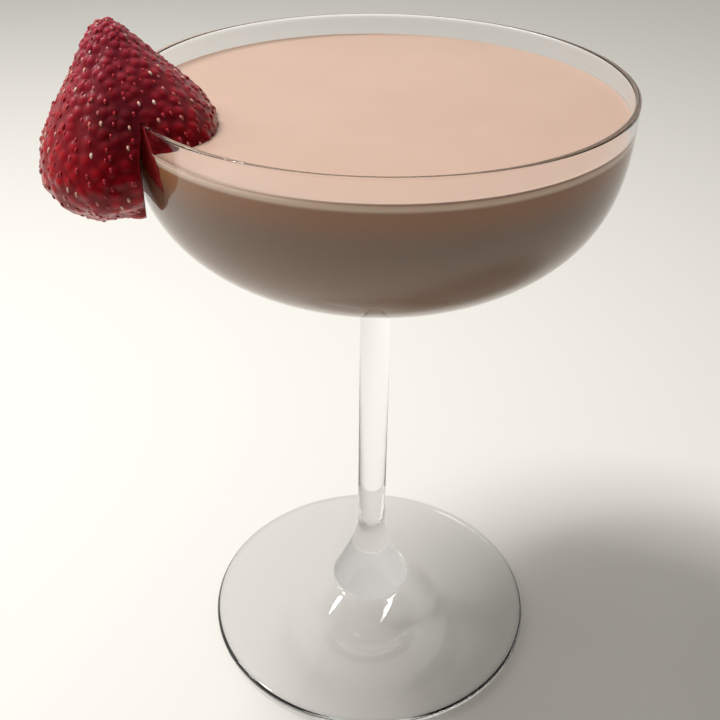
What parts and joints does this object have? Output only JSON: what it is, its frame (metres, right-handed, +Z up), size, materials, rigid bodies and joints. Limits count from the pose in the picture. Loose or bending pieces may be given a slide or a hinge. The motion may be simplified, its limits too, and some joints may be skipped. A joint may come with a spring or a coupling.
{
  "type": "strawberry smoothie",
  "caption": "Strawberry smoothie in a clear stemmed coupe glass, with a slit strawberry astride the rim as a garnish.",
  "frame": {"origin": "centre of the foot's flat underside, on the axis of the glass", "axes": "+Z up along the stem; +X and +Y across the rim, the strawberry on the -X side turned 16 degrees towards -Y"},
  "size_m": [0.1142, 0.1, 0.1611],
  "materials": {
    "glass": "clear, fire polished",
    "drink": "smooth milky liquid with a soft gloss",
    "berry": "moist red skin with small pale seeds"
  },
  "bodies": {
    "root": {"coupe_glass": "glass", "smoothie": "drink", "strawberry": "berry"}
  },
  "joints": []
}
